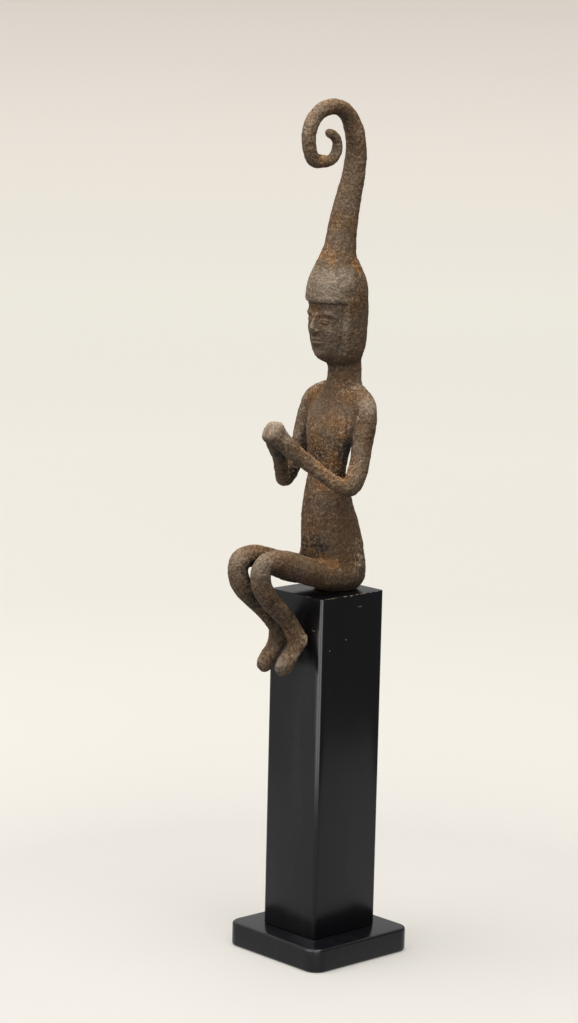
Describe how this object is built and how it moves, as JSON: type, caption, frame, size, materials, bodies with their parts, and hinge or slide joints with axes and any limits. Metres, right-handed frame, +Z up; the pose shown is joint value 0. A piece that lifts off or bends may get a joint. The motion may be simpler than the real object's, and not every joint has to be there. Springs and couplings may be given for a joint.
{
  "type": "seated iron figure",
  "caption": "Forged iron figure of a seated person with a tall curled horn and joined hands, its legs hanging in front of the black pillar and foot plate that hold it up.",
  "frame": {"origin": "middle of the foot plate's underside", "axes": "+Z up, the figure faces -Y, its left side is +X"},
  "size_m": [0.088, 0.1207, 0.5666],
  "materials": {
    "forged_iron": "pitted, dark brown, worn grey on the high spots, rust in the creases",
    "pillar_paint": "satin black paint, small chips along the top edges",
    "plate_paint": "satin black paint"
  },
  "bodies": {
    "root": {"figure": "forged_iron", "pillar": "pillar_paint", "foot_plate": "plate_paint"}
  },
  "joints": []
}
